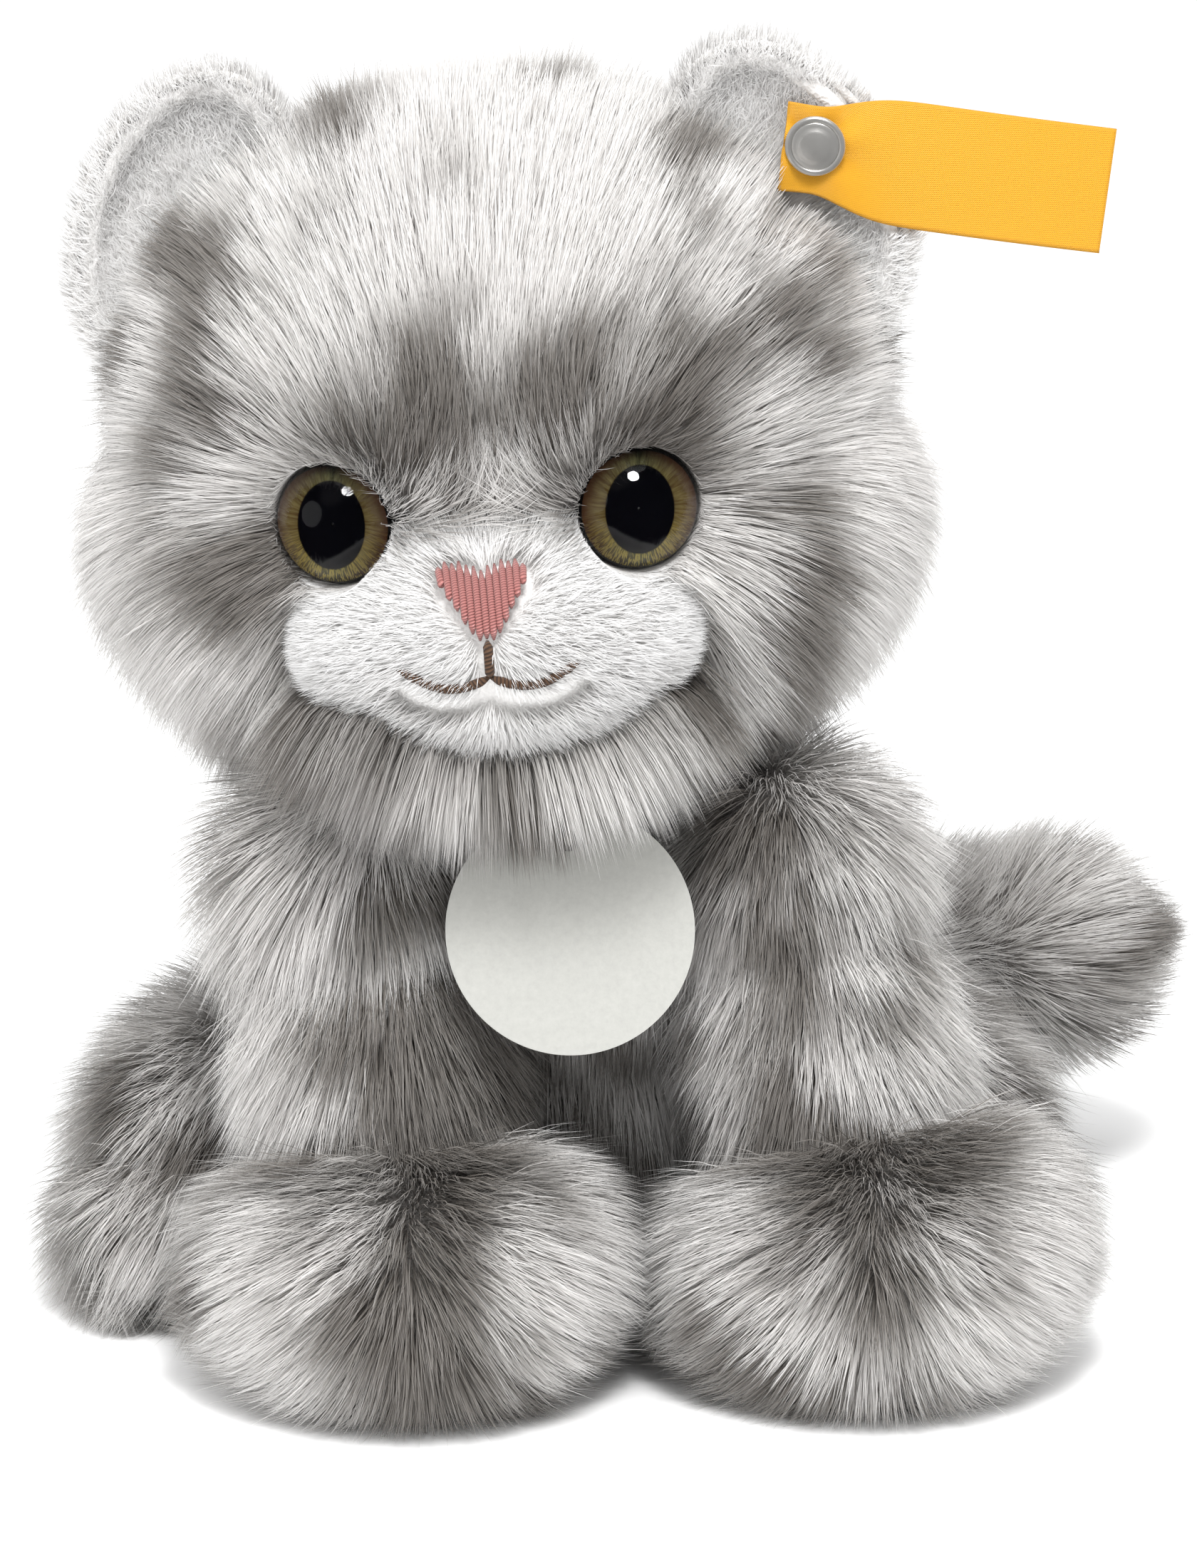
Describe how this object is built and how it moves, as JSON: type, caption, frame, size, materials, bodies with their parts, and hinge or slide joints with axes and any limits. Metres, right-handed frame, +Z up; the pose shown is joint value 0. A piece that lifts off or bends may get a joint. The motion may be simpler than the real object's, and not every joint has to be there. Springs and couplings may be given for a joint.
{
  "type": "plush cat",
  "caption": "Seated long-pile plush kitten with plastic safety eyes, embroidered nose, ear button with ribbon and a hanging chest tag.",
  "frame": {"origin": "middle of the flat seat panel under the torso, on the surface that the kitten sits on", "axes": "+Z up, the kitten faces -Y, its own left side is +X"},
  "size_m": [0.1411, 0.1213, 0.1648],
  "materials": {
    "long_pile_light": "long soft pile, near-white tips",
    "long_pile_dark": "long soft pile, brown-grey",
    "white_short_pile": "short dense pile",
    "stuffing": "loose polyester fibre",
    "clear_dome": "polished clear",
    "eye_plastic": "painted iris on black",
    "lock_washer": "satin",
    "pink_thread": "satin stitch",
    "brown_thread": "stitched line",
    "seam_thread": "polyester thread",
    "nickel": "polished nickel",
    "yellow_ribbon": "satin-woven ribbon",
    "card": "uncoated card",
    "tag_thread": "twisted thread"
  },
  "bodies": {
    "torso": {"torso_back_left": "long_pile_light", "torso_back_right": "long_pile_light", "torso_belly": "long_pile_dark", "torso_seat": "long_pile_dark", "torso_stuffing": "stuffing", "closing_stitches": "seam_thread", "tag_thread": "tag_thread"},
    "neck": {"neck_stuffing": "stuffing"},
    "head": {"head_side_left": "long_pile_light", "head_side_right": "long_pile_light", "head_gusset": "long_pile_light", "throat_panel": "long_pile_dark", "muzzle_panel": "white_short_pile", "head_stuffing": "stuffing", "eye_dome_left": "clear_dome", "eye_dome_right": "clear_dome", "eye_back_left": "eye_plastic", "eye_back_right": "eye_plastic", "eye_washer_left": "lock_washer", "eye_washer_right": "lock_washer", "nose_embroidery": "pink_thread", "mouth_embroidery": "brown_thread"},
    "ear_right": {"ear_front_right": "white_short_pile", "ear_back_right": "long_pile_dark", "ear_seam_right": "seam_thread"},
    "ear_left": {"ear_front_left": "white_short_pile", "ear_back_left": "long_pile_dark", "ear_seam_left": "seam_thread", "ear_button": "nickel", "ear_button_washer": "nickel"},
    "flag": {"ear_flag": "yellow_ribbon"},
    "front_leg_right": {"front_leg_outer_right": "long_pile_light", "front_leg_inner_right": "long_pile_dark", "front_leg_stuffing_right": "stuffing"},
    "front_leg_left": {"front_leg_outer_left": "long_pile_light", "front_leg_inner_left": "long_pile_dark", "front_leg_stuffing_left": "stuffing"},
    "hind_leg_right": {"hind_leg_outer_right": "long_pile_light", "hind_leg_inner_right": "long_pile_dark", "hind_leg_stuffing_right": "stuffing"},
    "hind_leg_left": {"hind_leg_outer_left": "long_pile_light", "hind_leg_inner_left": "long_pile_dark", "hind_leg_stuffing_left": "stuffing"},
    "tail": {"tail_upper": "long_pile_light", "tail_lower": "long_pile_dark", "tail_stuffing": "stuffing"},
    "tag": {"chest_tag": "card"}
  },
  "joints": [
    {"name": "head_turn", "type": "hinge", "parent": "torso", "child": "neck", "pos_m": [-0.006, 0.001, 0.079], "axis": [0, 0, 1], "range_deg": [-18, 18]},
    {"name": "head_nod", "type": "hinge", "parent": "neck", "child": "head", "pos_m": [-0.006, 0.001, 0.079], "axis": [1, 0, 0], "range_deg": [-8, 6], "stiffness_Nm_per_rad": 0.6},
    {"name": "ear_left_bend", "type": "hinge", "parent": "head", "child": "ear_left", "pos_m": [0.02779, -0.00732, 0.14268], "axis": [-0.6731, 0.0826, 0.7349], "range_deg": [0, 12], "stiffness_Nm_per_rad": 0.02},
    {"name": "ear_right_bend", "type": "hinge", "parent": "head", "child": "ear_right", "pos_m": [-0.04593, 0.00173, 0.13787], "axis": [0.5735, -0.0704, 0.8161], "range_deg": [-12, 12], "stiffness_Nm_per_rad": 0.02},
    {"name": "flag_swivel", "type": "hinge", "parent": "ear_left", "child": "flag", "pos_m": [0.03137, -0.0128, 0.15152], "axis": [-0.1219, -0.9925, 0], "range_deg": [-15, 15]},
    {"name": "front_leg_left_lift", "type": "hinge", "parent": "torso", "child": "front_leg_left", "pos_m": [0.026, -0.021, 0.0595], "axis": [-1, 0, 0], "range_deg": [0, 12], "stiffness_Nm_per_rad": 0.3},
    {"name": "front_leg_right_lift", "type": "hinge", "parent": "torso", "child": "front_leg_right", "pos_m": [-0.025, -0.022, 0.0595], "axis": [-1, 0, 0], "range_deg": [0, 12], "stiffness_Nm_per_rad": 0.3},
    {"name": "hind_leg_left_splay", "type": "hinge", "parent": "torso", "child": "hind_leg_left", "pos_m": [0.036, 0.023, 0.017], "axis": [0, 0, 1], "range_deg": [0, 12], "stiffness_Nm_per_rad": 0.1},
    {"name": "hind_leg_right_splay", "type": "hinge", "parent": "torso", "child": "hind_leg_right", "pos_m": [-0.035, 0.023, 0.017], "axis": [0, 0, -1], "range_deg": [0, 12], "stiffness_Nm_per_rad": 0.1},
    {"name": "tail_sway", "type": "hinge", "parent": "torso", "child": "tail", "pos_m": [0.013, 0.038, 0.018], "axis": [0, 0, 1], "range_deg": [-3, 25], "stiffness_Nm_per_rad": 0.05},
    {"name": "tag_swing", "type": "hinge", "parent": "torso", "child": "tag", "pos_m": [-0.0017, -0.04107, 0.07186], "axis": [-1, 0, 0], "range_deg": [0, 60]}
  ]
}
